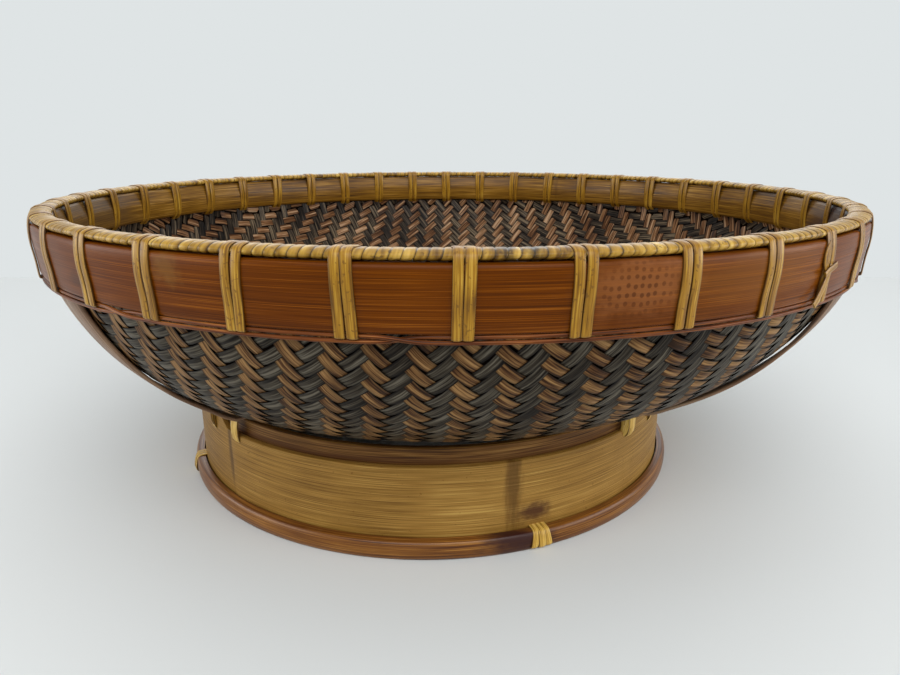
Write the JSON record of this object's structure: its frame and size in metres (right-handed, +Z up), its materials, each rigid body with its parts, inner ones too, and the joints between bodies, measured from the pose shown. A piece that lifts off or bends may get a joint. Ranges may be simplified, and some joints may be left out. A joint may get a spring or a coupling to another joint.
{
  "type": "winnowing basket",
  "caption": "Round footed winnowing basket of twill-woven bamboo with a cane-lashed rim, crossed straps and a banded foot.",
  "frame": {"origin": "on the floor under the centre of the rim, at the height of the foot hoop's underside", "axes": "+Z up out of the bowl; -Y is the front as pictured; +X to the right of that front"},
  "size_m": [0.4523, 0.4526, 0.1614],
  "materials": {
    "woven_bamboo": "oiled split strips, brown one way and slate grey the other",
    "rim_band_red": "polished reddish bamboo skin",
    "rim_band_tan": "smooth tan bamboo",
    "bamboo_strip": "raw split bamboo",
    "wound_cane": "worn golden cane",
    "runner_rod": "reddish rods, satin",
    "lashing_cane": "glossy golden cane",
    "strap_bamboo": "weathered split bamboo",
    "foot_inner_bamboo": "brown split bamboo",
    "foot_outer_bamboo": "light ochre bamboo with fine grain",
    "hoop_bamboo": "glossy half-round bamboo",
    "tie_cane": "golden cane"
  },
  "bodies": {
    "root": {"woven_bowl": "woven_bamboo", "outer_rim_band": "rim_band_red", "inner_rim_band": "rim_band_tan", "rim_core": "bamboo_strip", "rim_wrapping": "wound_cane", "upper_runner": "runner_rod", "lower_runner": "runner_rod", "cross_strap_over": "strap_bamboo", "cross_strap_under": "strap_bamboo", "foot_inner_band": "foot_inner_bamboo", "foot_outer_band": "foot_outer_bamboo", "foot_hoop": "hoop_bamboo", "rim_lashing_01": "lashing_cane", "rim_lashing_02": "lashing_cane", "rim_lashing_03": "lashing_cane", "rim_lashing_04": "lashing_cane", "rim_lashing_05": "lashing_cane", "rim_lashing_06": "lashing_cane", "rim_lashing_07": "lashing_cane", "rim_lashing_08": "lashing_cane", "rim_lashing_09": "lashing_cane", "rim_lashing_10": "lashing_cane", "rim_lashing_11": "lashing_cane", "rim_lashing_12": "lashing_cane", "rim_lashing_13": "lashing_cane", "rim_lashing_14": "lashing_cane", "rim_lashing_15": "lashing_cane", "rim_lashing_16": "lashing_cane", "rim_lashing_17": "lashing_cane", "rim_lashing_18": "lashing_cane", "rim_lashing_19": "lashing_cane", "rim_lashing_20": "lashing_cane", "rim_lashing_21": "lashing_cane", "rim_lashing_22": "lashing_cane", "rim_lashing_23": "lashing_cane", "rim_lashing_24": "lashing_cane", "rim_lashing_25": "lashing_cane", "rim_lashing_26": "lashing_cane", "rim_lashing_27": "lashing_cane", "rim_lashing_28": "lashing_cane", "rim_lashing_29": "lashing_cane", "rim_lashing_30": "lashing_cane", "rim_lashing_31": "lashing_cane", "rim_lashing_32": "lashing_cane", "rim_lashing_33": "lashing_cane", "rim_lashing_34": "lashing_cane", "rim_lashing_35": "lashing_cane", "rim_lashing_36": "lashing_cane", "rim_lashing_37": "lashing_cane", "rim_lashing_38": "lashing_cane", "rim_lashing_39": "lashing_cane", "rim_lashing_40": "lashing_cane", "strap_tie_1": "tie_cane", "strap_tie_2": "tie_cane", "strap_tie_3": "tie_cane", "strap_tie_4": "tie_cane", "hoop_tie_1": "tie_cane", "hoop_tie_2": "tie_cane", "hoop_tie_3": "tie_cane", "hoop_tie_4": "tie_cane"}
  },
  "joints": []
}
